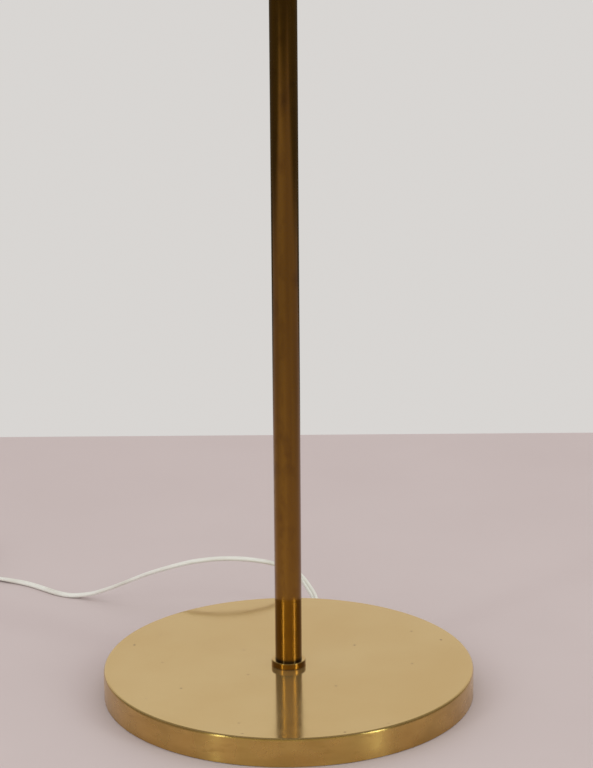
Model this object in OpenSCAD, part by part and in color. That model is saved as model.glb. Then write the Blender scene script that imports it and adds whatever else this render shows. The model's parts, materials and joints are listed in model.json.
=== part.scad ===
// Adjustable reading floor lamp in polished brass.
// A weighted round base carries a tubular pole, a telescoping riser,
// a swing arm and a tilting dome shade with a rotary switch.
// Millimetres, +Z up, origin at the centre of the base on the floor.

/* [Base] */
// Diameter of the round base
base_d = 264; // [220:1:320]
// Height of the polished top above the floor
base_h = 21; // [19:0.5:28]
// Thickness of the spun cover
cover_wall = 1.5; // [1:0.1:2]
// Outside radius of the cover's top edge
cover_edge_r = 2; // [1.6:0.1:3]
// Height of the cover's lower rim above the floor
rim_lift = 0.5; // [0.3:0.1:1]
// Thickness of the felt pad
felt_t = 2; // [1.5:0.1:2.5]
// Iron left above the nut pocket
weight_web = 4.5; // [3:0.5:5]
// Diameter of the nut pocket under the iron weight
pocket_d = 46; // [40:1:70]

/* [Stem] */
// Outside diameter of the threaded nipple
nipple_d = 10; // [9.5:0.1:11]
// Bore of the nipple
nipple_bore = 7; // [6.6:0.1:7.4]
// Length of nipple below its nut
nipple_tail = 0.8; // [0.5:0.1:1]
// Diameter of the washer in the pocket
washer_d = 30; // [24:1:36]
// Thickness of that washer
washer_t = 1.5; // [1:0.1:2]
// Width across flats of the nipple's nut
nut_flats = 17; // [15:0.5:19]
// Thickness of that nut
nut_t = 4; // [3:0.1:4.5]
// Length of the threaded plug in the pole's foot
foot_len = 22; // [15:1:40]

/* [Pole] */
// Outside diameter of the pole
pole_d = 19.05; // [18.5:0.05:22]
// Wall of the pole
pole_wall = 1.2; // [0.8:0.1:1.4]
// Length of the pole
pole_len = 679; // [600:1:760]
// Diameter of the collar at the pole's foot
collar_d = 24.5; // [23:0.5:32]
// Height of that collar
collar_h = 4.6; // [3:0.1:8]
// Edge radius of that collar
collar_edge_r = 0.6; // [0.3:0.1:1.4]

/* [Clamp] */
// Length of the guide bush inside the pole's top
bush_len = 40; // [25:1:60]
// Thickness of the bush's flange
bush_flange_t = 1.5; // [1:0.1:3]
// Diameter of the clamp collar
clamp_d = 27; // [25:0.5:32]
// Length of the clamp collar that grips the pole
clamp_grip = 16; // [10:1:25]
// Height of the clamp collar above the pole's end
clamp_head = 22; // [18:1:30]
// Diameter of the boss that holds the screw
boss_d = 13; // [10:0.5:15]
// Distance from the pole's axis to the boss's face
boss_reach = 19; // [17:0.5:24]
// Diameter of the clamp screw
screw_d = 6; // [5:0.5:8]
// Thickness of the pad under the screw's tip
pad_t = 2.5; // [2:0.1:4]
// Diameter of the screw's knurled head
knob_d = 18; // [15:0.5:24]
// Thickness of the knurled head
knob_t = 9; // [6:0.5:14]

/* [Riser] */
// Outside diameter of the riser tube
riser_d = 15.88; // [15:0.02:16]
// Wall of the riser tube
riser_wall = 1; // [0.8:0.1:1.2]
// Riser showing above the clamp at rest
riser_out = 460; // [420:5:520]
// Travel up from rest
riser_up = 120; // [60:5:150]
// Travel down from rest
riser_down = 340; // [200:5:360]
// Length of the guide sleeve on the riser's foot
guide_len = 25; // [15:1:40]

/* [Swivel] */
// Diameter of the swivel post's pin
pin_d = 12; // [11:0.5:13]
// Thickness of the post's flange
flange_t = 4; // [3:0.5:6]
// Thickness of the thrust washer
thrust_t = 1; // [0.8:0.1:2]
// Outside diameter of the swivel housing
housing_d = 28; // [27:0.5:34]
// Thickness of the housing's floor
floor_t = 7; // [6:0.5:10]
// Height of the wiring chamber above that floor
chamber_h = 22; // [21:0.5:28]
// Wall of the housing
housing_wall = 3.5; // [2.5:0.1:4]
// Height of the domed cap
cap_h = 9; // [6:0.5:13]
// Diameter of the stop pin
stop_d = 2.4; // [2:0.1:3]
// Swing of the arm to each side
swing_limit = 165; // [90:1:168]

/* [Arm] */
// Outside diameter of the arm tube
arm_d = 12.7; // [12:0.1:13.5]
// Wall of the arm tube
arm_wall = 1; // [0.8:0.1:1.2]
// Distance from the riser's axis to the tilt pivot
arm_reach = 300; // [240:5:400]
// Length of the boss that holds the arm tube
arm_boss_len = 15; // [10:1:24]

/* [Tilt knuckle] */
// Diameter of the knuckle's two hubs
hub_d = 24; // [23:0.5:30]
// Width of each hub
hub_w = 9.6; // [8:0.2:14]
// Thickness of the friction washer between the hubs
friction_t = 0.8; // [0.5:0.1:1.5]
// Diameter of the necks beside the hubs
neck_d = 10; // [9:0.5:11]
// Diameter of the pivot screw
pivot_d = 5; // [4:0.5:6]

/* [Head] */
// Outside diameter of the socket cup
cup_d = 42; // [40:0.5:48]
// Height of the socket cup
cup_h = 46; // [44:1:60]
// Wall of the socket cup
cup_wall = 1; // [0.8:0.1:1.4]
// Outside diameter of the socket's skirt
skirt_d = 36; // [34:0.5:37]
// Largest radius of the shade
shade_r = 80; // [70:1:110]
// Height of the shade
shade_h = 91; // [84:1:130]
// Wall of the shade
shade_wall = 1; // [0.8:0.1:1.5]
// Radius of the shade's rolled rim
rim_r = 1.8; // [1.5:0.1:3]
// Radius of the round bulb
bulb_r = 24; // [20:0.5:30]
// Diameter of the switch knob
switch_d = 12; // [9:0.5:16]
// Length of the switch knob
switch_len = 13; // [9:0.5:18]

/* [Cord] */
// Width of the flat twin cord
cord_w = 5.2; // [4.8:0.1:5.6]
// Thickness of the flat twin cord
cord_t = 2.6; // [2.4:0.1:2.8]
// Height of the cord's hole above the floor
cord_z = 9; // [8.5:0.5:10]
// Direction of the cord's hole round the base
cord_angle = 82; // [70:1:110]
// Length of the strain relief outside the cover
relief_out = 10; // [8:0.5:16]
// Length of the strain relief inside the cover
relief_in = 11; // [8:0.5:16]

/* [Hidden] */
$fn = 72;

// Colours of the finishes
brass = [0.78, 0.62, 0.34];
steel = [0.62, 0.63, 0.65];
iron = [0.22, 0.22, 0.23];
white = [0.93, 0.92, 0.89];
black = [0.12, 0.11, 0.11];

// Clearances
cut = 1;
press_gap = 0.04;
run_gap = 0.06;
thread_gap = 0.05;
loose_gap = 0.3;
face_gap = 0.1;

// Base
base_r = base_d / 2;
deck_z = base_h - cover_wall;
cover_inner_r = base_r - cover_wall;
inner_edge_r = max(cover_edge_r - cover_wall, 0.2);
weight_r = cover_inner_r - loose_gap;
weight_chamfer = inner_edge_r + loose_gap;
felt_r = cover_inner_r - 1;
pocket_top = deck_z - weight_web;
nut_top = pocket_top - washer_t;
nut_bottom = nut_top - nut_t;
nipple_bottom = nut_bottom - nipple_tail;
nipple_top = base_h + foot_len + 4;
stem_hole_d = nipple_d + 0.5;

// Pole and clamp
pole_id = pole_d - 2 * pole_wall;
pole_top = base_h + pole_len;
clamp_seat = pole_top + bush_flange_t;
clamp_top = clamp_seat + clamp_head;
clamp_bottom = pole_top - clamp_grip;
clamp_edge_r = 1.5;
screw_z = clamp_seat + clamp_head / 2;
screw_tip = riser_d / 2 + run_gap + pad_t;
knob_start = boss_reach + 3;
knurl_count = 28;

// Riser
riser_id = riser_d - 2 * riser_wall;
riser_top = clamp_top + riser_out;
travel_stop = 1;
riser_foot = pole_top - bush_len - riser_up - travel_stop - guide_len;

// Swivel, stacked upward from the riser's end
thrust_z = riser_top + flange_t;
housing_z = thrust_z + thrust_t;
chamber_z = housing_z + floor_t;
housing_top = chamber_z + chamber_h;
chamber_d = housing_d - 2 * housing_wall;
post_spigot = 25;
spring_t = 1.4;
swivel_nut_t = 5;
swivel_nut_flats = 15;
post_top = chamber_z + spring_t + swivel_nut_t + 3;
stop_ring_r = (pin_d / 2 + housing_d / 2) / 2;
stop_depth = floor_t - 3;
stop_half_angle = asin(stop_d / 2 / stop_ring_r);
stop_clear = 0.6;
groove_half = swing_limit + stop_half_angle + stop_clear;
groove_w = stop_d + 2 * loose_gap;

// Arm and knuckle
arm_z = chamber_z + 12.5;
arm_id = arm_d - 2 * arm_wall;
arm_boss_d = arm_d + 5;
arm_start = chamber_d / 2 + 1;
arm_boss_end = housing_d / 2 + arm_boss_len;
hub_gap = friction_t / 2;
hub_chamber_d = hub_d - 8;
hub_wall = 2.4;
hub_clear_r = hub_d / 2 + 0.4;
neck_end = hub_d / 2 + 8;
shoulder_end = neck_end + 5;
spigot_end = shoulder_end + 14;
lead_bore = 6;
lead_stop = hub_clear_r + loose_gap;
lead_tail = 1.5;
arm_end = arm_reach - shoulder_end;
pivot_head_d = pivot_d + 4;
pivot_head_t = 3;
pivot_nut_t = 4.5;

// Head, measured downward from the tilt pivot
cup_top = neck_end + 3;
cup_rim = cup_top + cup_h;
cup_edge_r = 7;
cup_nut_t = 4;
cup_nut_flats = 16;
socket_top = cup_top + cup_wall + cup_nut_t;
thread_end = socket_top + 8;
cavity_top = thread_end;
cavity_h = 14;
skirt_top = cavity_top + cavity_h + 3;
shade_top = cup_rim;
flange_r = cup_d / 2 + 5;
ring_h = 7;
ring_top = shade_top + shade_wall;
skirt_end = ring_top + ring_h + 3;
skirt_id = skirt_d - 7;
shell_d = skirt_id - 2 * loose_gap;
shell_wall = 0.5;
cap_d = shell_d - 2 * shell_wall - 2 * loose_gap;
cap_top = skirt_top + 5;
bulb_neck_r = cap_d / 2 - 0.5;
bulb_wall = 0.8;
bulb_neck_len = 40;
bulb_steps = 24;
bulb_centre = skirt_end + bulb_neck_len;
bulb_tangent = atan2(bulb_neck_len, bulb_neck_r) - acos(bulb_r / norm([bulb_neck_len, bulb_neck_r]));
vent_d = 4;
vent_count = 8;

// Rotary switch on the side of the cup
switch_drop = cavity_top + cavity_h / 2;
shaft_d = 4;
rotor_d = 9;
rotor_w = 5;
bush_d = 8;
bush_nut_flats = 11;
bush_nut_t = 2.5;
bush_face = cup_d / 2 + face_gap + bush_nut_t;
switch_start = bush_face + 1;
flute_count = 18;

// Strain relief along the cord's hole
relief_tip = base_r + relief_out;
relief_root = cover_inner_r - relief_in;
relief_neck_d = 9;
relief_flange_d = 12;
relief_flange_t = 1.6;
relief_tip_d = 7;
channel_w = relief_flange_d + 1;
channel_top = cord_z + relief_flange_d / 2 + 0.5;
slot_gap = 0.15;
exit_dir = [cos(cord_angle), sin(cord_angle), 0];
exit_side = [-sin(cord_angle), cos(cord_angle), 0];

// Lead inside the stand: under the nipple, then up the pole
lead_low = felt_t + 0.4 + cord_t / 2;
lead_bend = 3.2;
lead_top = chamber_z - floor_t - thrust_t - flange_t - post_spigot - riser_down - 30;

// Cord on the floor, from the strain relief to the coil.
// It rises behind the base, arches over to the left and comes down to the floor.
cord_points = [
    [20, 148, 10], [19, 155, 13], [14, 161, 19.5], [8, 162.5, 27], [-1, 160.5, 33.5],
    [-10.5, 158, 38], [-21, 156.5, 41], [-37, 155, 43.5], [-54, 154, 44], [-70, 153.5, 42.5],
    [-79, 154, 40.5], [-88, 156, 37.5], [-98, 159, 33.5], [-109, 163, 28.5], [-121, 168, 22],
    [-132, 173.5, 15.5], [-143, 179, 9.5], [-153, 183.5, 5], [-162, 187, 2.5], [-171, 189.5, 1.5],
    [-181, 195, 1.5], [-192, 204.5, 1.5], [-205, 215, 1.5], [-220, 222.5, 1.8], [-234, 227, 2.4],
    [-248, 229.5, 2.9], [-261, 230, 3.2], [-270, 230, 3.3], [-276, 230, 3.3]
];
cord_steps = 2;
roll_start = 0.80;

// Coil of the stored length, two layers wound on edge
coil_x = -282;
coil_y = 268;
coil_r = 38;
coil_pitch = cord_t + 0.6;
layer_pitch = cord_w + 0.6;
coil_lift = 0.7;
turns_per_layer = 5.375;
coil_turns = 2 * turns_per_layer + 0.5;
rings_per_turn = 24;
coil_inner_r = coil_r - turns_per_layer * coil_pitch;
coil_low = coil_lift + cord_w / 2;
coil_lead = 6;
coil_tail = 24;
tie_w = 10;
tie_t = 0.5;
tie_bend = 1;
tie_lap = 13;
tie_angle = 50;

// Two-blade plug beside the coil
plug_t = 2 * (coil_low + layer_pitch) - 0.2;
plug_w = 24;
plug_len = 32;
plug_edge_r = 2.5;
blade_t = 1.5;
blade_w = 6.35;
blade_len = 17;
blade_pitch = 12.7;

// Small vector helpers and the smooth step that eases a rise
function unit(v) = v / norm(v);
function ease(s) = let (u = min(max(s, 0), 1)) u * u * (3 - 2 * u);

// Point on the smooth curve between b and c
function curve(a, b, c, d, t) =
    0.5 * (2 * b + (c - a) * t + (2 * a - 5 * b + 4 * c - d) * t * t + (3 * b - a - 3 * c + d) * t * t * t);
function smooth_route(p, steps) =
    let (last = len(p) - 1)
    [
        for (i = [0 : last - 1], k = [0 : steps - 1])
            curve(p[max(i - 1, 0)], p[i], p[i + 1], p[min(i + 2, last)], k / steps),
        p[last]
    ];
function tangent(p, i) = unit(p[min(i + 1, len(p) - 1)] - p[max(i - 1, 0)]);

// Across-the-cord direction: level at first, turned on edge by roll
function level_side(t, roll) =
    let (flat = unit(cross(t, [0, 0, 1])))
    flat * cos(roll) + cross(t, flat) * sin(roll);

// Sections of the flat cord, with eight and with six sides
function flat_eight() =
    let (lobe = cord_t / 2 / sin(67.5))
    [for (s = [1, -1], a = [-67.5 : 45 : 67.5]) s * [(cord_w - cord_t) / 2 + lobe * cos(a), lobe * sin(a)]];
function flat_six() =
    let (shoulder = cord_w / 2 - 0.3 * cord_t)
    [
        [cord_w / 2, 0], [shoulder, cord_t / 2], [-shoulder, cord_t / 2],
        [-cord_w / 2, 0], [-shoulder, -cord_t / 2], [shoulder, -cord_t / 2]
    ];

// Points of the swept tube, ring after ring
function tube_points(path, across, section) = [
    for (i = [0 : len(path) - 1])
        let (t = tangent(path, i), a = across[i], n = cross(a, t))
        each [for (q = section) path[i] + a * q[0] + n * q[1]]
];

module swept_tube(path, across, section) {
    sides = len(section);
    rings = len(path);
    skin = [
        for (i = [0 : rings - 2], k = [0 : sides - 1])
            let (a = i * sides + k, b = i * sides + (k + 1) % sides)
            each [[a, b, b + sides], [a, b + sides, a + sides]]
    ];
    first_cap = [for (k = [1 : sides - 2]) [0, k + 1, k]];
    end = (rings - 1) * sides;
    last_cap = [for (k = [1 : sides - 2]) [end, end + k, end + k + 1]];
    polyhedron(points = tube_points(path, across, section), faces = concat(skin, first_cap, last_cap));
}

// Directions for round pieces that do not stand upright
module along_x() { rotate([0, 90, 0]) children(); }
module along_minus_x() { rotate([0, -90, 0]) children(); }
module along_y() { rotate([-90, 0, 0]) children(); }
module along_minus_y() { rotate([90, 0, 0]) children(); }
module at_exit(r) { rotate([0, 0, cord_angle]) translate([r, 0, cord_z]) along_x() children(); }
module at_arm(x) { translate([x, 0, arm_z]) children(); }
module below_pivot(drop) { translate([arm_reach, 0, arm_z - drop]) children(); }

// Rectangle with round corners
module soft_rect(w, h, r) {
    translate([r, 0]) square([w - 2 * r, h]);
    translate([0, r]) square([w, h - 2 * r]);
    for (x = [r, w - r], y = [r, h - r])
        translate([x, y]) circle(r = r);
}

// Ring with a square section
module ring(outer_d, inner_d, h) {
    difference() {
        cylinder(d = outer_d, h = h);
        translate([0, 0, -cut]) cylinder(d = inner_d, h = h + 2 * cut);
    }
}

// Solid disc whose top edge is rounded
module rounded_disc(r, h, edge) {
    rotate_extrude() {
        square([r - edge, h]);
        square([r, h - edge]);
        translate([r - edge, h - edge]) intersection() {
            circle(r = edge);
            square(2 * edge);
        }
    }
}

// Solid disc with both edges rounded
module bead_disc(r, h, edge) {
    rotate_extrude() {
        square([r - edge, h]);
        translate([0, edge]) square([r, h - 2 * edge]);
        for (z = [edge, h - edge])
            translate([r - edge, z]) circle(r = edge);
    }
}

// Hexagon nut with a clear hole
module hex_nut(flats, hole_d, h) {
    difference() {
        cylinder(d = flats / cos(30), h = h, $fn = 6);
        translate([0, 0, -cut]) cylinder(d = hole_d, h = h + 2 * cut);
    }
}

// Grip with grooves round its rim
module fluted_grip(d, h, count, groove_r) {
    difference() {
        bead_disc(d / 2, h, 1);
        for (i = [0 : count - 1])
            rotate([0, 0, i * 360 / count])
                translate([d / 2 + groove_r * 0.4, 0, -cut])
                    cylinder(r = groove_r, h = h + 2 * cut, $fn = 24);
    }
}

// Outline of the flat cord as two cores and the web between them
module flat_outline(gap) {
    for (s = [-1, 1])
        translate([0, s * (cord_w - cord_t) / 2]) circle(d = cord_t + 2 * gap);
    translate([-cord_t / 2 - gap, (cord_t - cord_w) / 2]) square([cord_t + 2 * gap, cord_w - cord_t]);
}

module base_cover() {
    color(brass) difference() {
        translate([0, 0, rim_lift]) rounded_disc(base_r, base_h - rim_lift, cover_edge_r);
        translate([0, 0, -cut]) rounded_disc(cover_inner_r, deck_z + cut, inner_edge_r);
        cylinder(d = stem_hole_d, h = base_h + cut);
        at_exit(weight_r) cylinder(d = relief_neck_d + 2 * face_gap, h = 2 * cover_wall + relief_out);
    }
}

module base_weight() {
    color(iron) difference() {
        union() {
            translate([0, 0, felt_t]) cylinder(r = weight_r, h = deck_z - weight_chamfer - felt_t);
            translate([0, 0, deck_z - weight_chamfer])
                cylinder(r1 = weight_r, r2 = weight_r - weight_chamfer, h = weight_chamfer);
        }
        cylinder(d = pocket_d, h = pocket_top);
        cylinder(d = stem_hole_d, h = base_h);
        rotate([0, 0, cord_angle]) translate([0, -channel_w / 2, 0]) cube([base_r, channel_w, channel_top]);
    }
}

module base_felt() {
    color([0.16, 0.2, 0.16]) cylinder(r = felt_r, h = felt_t);
}

module stem_nipple() {
    color(steel) translate([0, 0, nipple_bottom]) ring(nipple_d, nipple_bore, nipple_top - nipple_bottom);
}

module nipple_washer() {
    color(steel) translate([0, 0, nut_top]) ring(washer_d, stem_hole_d, washer_t);
}

module nipple_nut() {
    color(steel) translate([0, 0, nut_bottom]) hex_nut(nut_flats, nipple_d + 2 * thread_gap, nut_t);
}

module pole_foot_plug() {
    color(brass) translate([0, 0, base_h])
        ring(pole_id - 2 * press_gap, nipple_d + 2 * thread_gap, foot_len);
}

module pole_collar() {
    color(brass) translate([0, 0, base_h]) difference() {
        bead_disc(collar_d / 2, collar_h, collar_edge_r);
        translate([0, 0, -cut]) cylinder(d = pole_d + 2 * face_gap, h = collar_h + 2 * cut);
    }
}

module lower_pole() {
    color(brass) translate([0, 0, base_h]) ring(pole_d, pole_id, pole_len);
}

module guide_bush() {
    color(white) difference() {
        union() {
            translate([0, 0, pole_top - bush_len]) cylinder(d = pole_id - 2 * press_gap, h = bush_len);
            translate([0, 0, pole_top]) cylinder(d = pole_d, h = bush_flange_t);
        }
        translate([0, 0, pole_top - bush_len - cut])
            cylinder(d = riser_d + 2 * run_gap, h = bush_len + bush_flange_t + 2 * cut);
    }
}

module clamp_collar() {
    color(brass) difference() {
        union() {
            translate([0, 0, clamp_bottom]) bead_disc(clamp_d / 2, clamp_top - clamp_bottom, clamp_edge_r);
            translate([0, 0, screw_z]) along_minus_x() cylinder(d = boss_d, h = boss_reach);
        }
        translate([0, 0, clamp_bottom - cut])
            cylinder(d = pole_d + 2 * press_gap, h = clamp_seat - clamp_bottom + cut);
        translate([0, 0, clamp_bottom]) cylinder(d = riser_d + 2 * loose_gap, h = clamp_top);
        translate([0, 0, screw_z]) along_minus_x()
            cylinder(d = screw_d + 2 * thread_gap, h = boss_reach + cut);
    }
}

module clamp_pad() {
    color(brass) difference() {
        translate([0, 0, screw_z]) along_minus_x() cylinder(d = screw_d - 2 * face_gap, h = screw_tip);
        cylinder(r = riser_d / 2 + run_gap, h = clamp_top);
    }
}

module clamp_screw() {
    color(brass) translate([0, 0, screw_z]) along_minus_x() {
        translate([0, 0, screw_tip]) cylinder(d = screw_d, h = knob_start - screw_tip);
        translate([0, 0, boss_reach + face_gap]) cylinder(d = screw_d + 4, h = knob_start - boss_reach);
        translate([0, 0, knob_start]) fluted_grip(knob_d, knob_t, knurl_count, 0.7);
    }
}

module cord_strain_relief() {
    color(white) difference() {
        union() {
            at_exit(relief_root) cylinder(d = relief_neck_d - 1, h = base_r - relief_root);
            at_exit(relief_root) cylinder(d = relief_flange_d - 1, h = relief_flange_t);
            at_exit(cover_inner_r - relief_flange_t - loose_gap)
                cylinder(d = relief_flange_d, h = relief_flange_t);
            at_exit(cover_inner_r - loose_gap) cylinder(d = relief_neck_d, h = cover_wall + 2 * loose_gap);
            at_exit(base_r + face_gap) cylinder(d = relief_flange_d, h = relief_flange_t);
            at_exit(base_r + face_gap)
                cylinder(d1 = relief_neck_d, d2 = relief_tip_d, h = relief_out - face_gap);
        }
        at_exit(relief_root - cut) linear_extrude(height = relief_tip - relief_root + 2 * cut)
            flat_outline(slot_gap);
    }
}

// Lead from the strain relief through the iron's channel, round the nipple's end and up the pole
function stand_lead_points() =
    let (bend_rise = lead_low + lead_bend)
    [
        exit_dir * relief_tip + [0, 0, cord_z],
        exit_dir * relief_root + [0, 0, cord_z],
        exit_dir * (relief_root - 15) + [0, 0, cord_z - 1],
        exit_dir * (relief_root - 45) + [0, 0, lead_low + 1],
        exit_dir * (relief_root - 60) + [0, 0, lead_low],
        exit_dir * pocket_d / 4 + [0, 0, lead_low],
        for (a = [0 : 22.5 : 90])
            exit_dir * (lead_bend - lead_bend * sin(a)) + [0, 0, bend_rise - lead_bend * cos(a)],
        [0, 0, nipple_top],
        [0, 0, lead_top]
    ];

module stand_lead() {
    path = stand_lead_points();
    color(white) swept_tube(path, [for (p = path) exit_side], flat_eight());
}

// Free cord: straight out of the strain relief, then along the chosen points
function cord_path() =
    let (tip = exit_dir * relief_tip + [0, 0, cord_z])
    smooth_route(concat([tip, tip + exit_dir * 4], cord_points), cord_steps);

module supply_cord() {
    path = cord_path();
    last = len(path) - 1;
    across = [
        for (i = [0 : last])
            level_side(tangent(path, i), 90 * ease((i / last - roll_start) / (0.97 - roll_start)))
    ];
    color(white) swept_tube(path, across, flat_eight());
}

// Radius and height of the coil after so many turns
function coil_radius(n) =
    n < turns_per_layer ? coil_r - coil_pitch * n
    : n < turns_per_layer + 0.5 ? coil_inner_r - coil_pitch / 2 * sin(360 * (n - turns_per_layer))
    : coil_inner_r + coil_pitch * (n - turns_per_layer - 0.5);
function coil_height(n) = coil_low + layer_pitch * ease((n - turns_per_layer) / 0.375);
function coil_point(n) =
    let (a = -90 - 360 * n, r = coil_radius(n))
    [coil_x + r * cos(a), coil_y + r * sin(a), coil_height(n)];
function coil_path() =
    let (first = coil_point(0), end = coil_point(coil_turns))
    [
        first + [coil_lead, 0, 0],
        for (i = [0 : coil_turns * rings_per_turn]) coil_point(i / rings_per_turn),
        end + [0, coil_tail, 0]
    ];

// Least distance between points of the tube that are half a turn or more apart
function coil_gap() =
    let (
        path = coil_path(),
        section = flat_six(),
        points = tube_points(path, [for (p = path) [0, 0, 1]], section),
        sides = len(section)
    )
    min([
        for (i = [0 : len(path) - 1], j = [i + rings_per_turn / 2 : len(path) - 1])
            if (norm(path[i] - path[j]) < 2 * cord_w)
                for (a = [0 : sides - 1], b = [0 : sides - 1])
                    norm(points[i * sides + a] - points[j * sides + b])
    ]);

module cord_coil() {
    path = coil_path();
    echo(coil_least_gap = coil_gap());
    color(white) swept_tube(path, [for (p = path) [0, 0, 1]], flat_six());
}

// Strap round the bundle of turns, lying on the floor with the coil on it
tie_low_r = sqrt(pow(coil_inner_r - coil_pitch / 2 - cord_t / 2, 2) - pow(tie_w / 2, 2)) - 2 * loose_gap;
tie_high_r = norm([coil_r + cord_t / 2, tie_w / 2]) + loose_gap;
tie_low_z = coil_lift - face_gap;
tie_high_z = coil_lift + cord_w + layer_pitch + face_gap;
module tie_outline(grow) {
    translate([tie_low_r - grow, tie_low_z - grow])
        soft_rect(tie_high_r - tie_low_r + 2 * grow, tie_high_z - tie_low_z + 2 * grow, tie_bend + grow);
}

// The strap's end is lapped over its top
module cord_tie() {
    color(black) translate([coil_x, coil_y, 0]) rotate([0, 0, tie_angle])
        translate([0, tie_w / 2, 0]) rotate([90, 0, 0]) linear_extrude(height = tie_w) {
            difference() {
                tie_outline(tie_t);
                tie_outline(0);
            }
            translate([tie_high_r - tie_bend - tie_lap, tie_high_z]) square([tie_lap, 2 * tie_t]);
        }
}

// Outline whose corners are rounded by arcs that run into both sides
corner_steps = 6;
function rounded_corner(a, b, c, r) =
    let (
        u = unit(a - b),
        v = unit(c - b),
        half = acos(u * v) / 2,
        centre = b + unit(u + v) * r / sin(half),
        start = b + u * r / tan(half) - centre,
        end = b + v * r / tan(half) - centre
    )
    [for (k = [0 : corner_steps]) centre + r * unit(start + (end - start) * k / corner_steps)];
function rounded_outline(p, r) =
    let (n = len(p))
    [for (i = [0 : n - 1]) each rounded_corner(p[(i + n - 1) % n], p[i], p[(i + 1) % n], r)];

module at_plug() { translate([coil_x - coil_r, coil_y + coil_tail, coil_low + layer_pitch]) children(); }

// Plug's outline from above or from the side: a narrow tail that widens to the body
plug_tail_w = 12;
plug_taper = 14;
module plug_outline(w) {
    polygon(rounded_outline([
        [-plug_tail_w / 2, 0], [plug_tail_w / 2, 0], [w / 2, plug_taper],
        [w / 2, plug_len], [-w / 2, plug_len], [-w / 2, plug_taper]
    ], plug_edge_r));
}

module plug_body() {
    grip_r = 1.4;
    color(white) at_plug() difference() {
        intersection() {
            translate([0, 0, -plug_t / 2]) linear_extrude(height = plug_t) plug_outline(plug_w);
            translate([-plug_w / 2, 0, 0]) along_x() linear_extrude(height = plug_w) plug_outline(plug_t);
            translate([-plug_w / 2, 0, plug_t / 2]) along_y() linear_extrude(height = plug_len)
                soft_rect(plug_w, plug_t, plug_edge_r);
        }
        for (s = [-1, 1], y = [plug_taper + 3 : 4 : plug_len - 4])
            translate([s * (plug_w / 2 + 0.6), y, -plug_t]) cylinder(r = grip_r, h = 2 * plug_t, $fn = 24);
    }
}

module plug_blades() {
    color(brass) at_plug() for (s = [-1, 1])
        translate([s * blade_pitch / 2, plug_len, 0]) difference() {
            translate([-blade_t / 2, 0, -blade_w / 2]) cube([blade_t, blade_len, blade_w]);
            translate([-blade_t, blade_len - 4, 0]) along_x() cylinder(d = 3, h = 2 * blade_t);
        }
}

module riser_tube() {
    color(brass) translate([0, 0, riser_foot]) ring(riser_d, riser_id, riser_top - riser_foot);
}

module riser_guide() {
    color(white) translate([0, 0, riser_foot])
        ring(pole_id - 2 * run_gap, riser_d + 2 * press_gap, guide_len);
}

module swivel_post() {
    color(brass) difference() {
        union() {
            translate([0, 0, riser_top - post_spigot])
                cylinder(d = riser_id - 2 * press_gap, h = post_spigot);
            translate([0, 0, riser_top]) cylinder(d = housing_d, h = flange_t);
            translate([0, 0, thrust_z]) cylinder(d = pin_d, h = thrust_t + floor_t - face_gap);
            translate([0, 0, thrust_z]) cylinder(d = nipple_d, h = post_top - thrust_z);
        }
        translate([0, 0, riser_top - post_spigot - cut])
            cylinder(d = nipple_bore, h = post_top - riser_top + post_spigot + 2 * cut);
        translate([-stop_ring_r, 0, riser_top + flange_t / 2])
            cylinder(d = stop_d + 2 * press_gap, h = flange_t);
    }
}

module swivel_washer() {
    color(white) difference() {
        translate([0, 0, thrust_z]) ring(housing_d - 1, pin_d + 2 * face_gap, thrust_t);
        translate([-stop_ring_r, 0, thrust_z - cut])
            cylinder(d = stop_d + 2 * face_gap, h = thrust_t + 2 * cut);
    }
}

module swivel_spring_washer() {
    color(steel) translate([0, 0, chamber_z]) ring(chamber_d - 4, nipple_d + 2 * face_gap, spring_t);
}

module swivel_nut() {
    color(steel) translate([0, 0, chamber_z + spring_t])
        hex_nut(swivel_nut_flats, nipple_d + 2 * thread_gap, swivel_nut_t);
}

module swivel_stop_pin() {
    pin_top = housing_z + stop_depth - loose_gap;
    color(steel) translate([-stop_ring_r, 0, riser_top + flange_t / 2])
        cylinder(d = stop_d, h = pin_top - riser_top - flange_t / 2);
}

module riser_lead() {
    lead_foot = riser_top - post_spigot - 5;
    color(white) translate([0, 0, lead_foot]) linear_extrude(height = post_top + 0.4 - lead_foot)
        flat_outline(0);
}

// Barrel that turns on the post, with the arc groove for the stop pin in its underside
module swivel_housing() {
    color(brass) difference() {
        union() {
            translate([0, 0, housing_z]) cylinder(d = housing_d, h = housing_top - housing_z);
            translate([0, 0, arm_z]) along_x() bead_disc(arm_boss_d / 2, arm_boss_end, 1.2);
        }
        translate([0, 0, housing_z - cut]) cylinder(d = pin_d + 2 * run_gap, h = floor_t + 2 * cut);
        translate([0, 0, chamber_z]) cylinder(d = chamber_d, h = chamber_h + cut);
        translate([0, 0, arm_z]) along_x() cylinder(d = arm_d + 2 * press_gap, h = arm_boss_end + cut);
        translate([0, 0, housing_z]) rotate([0, 0, 180 - groove_half]) rotate_extrude(angle = 2 * groove_half)
            translate([stop_ring_r - groove_w / 2, -cut]) square([groove_w, stop_depth + cut]);
    }
}

module swivel_cap() {
    spigot = 3;
    color(brass) {
        translate([0, 0, housing_top]) rounded_disc(housing_d / 2, cap_h, min(cap_h - 1, housing_d / 2 - 2));
        translate([0, 0, housing_top - spigot]) ring(chamber_d - 2 * press_gap, chamber_d - 3, spigot);
    }
}

module arm_tube() {
    color(brass) at_arm(arm_start) along_x() ring(arm_d, arm_id, arm_end - arm_start);
}

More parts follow.
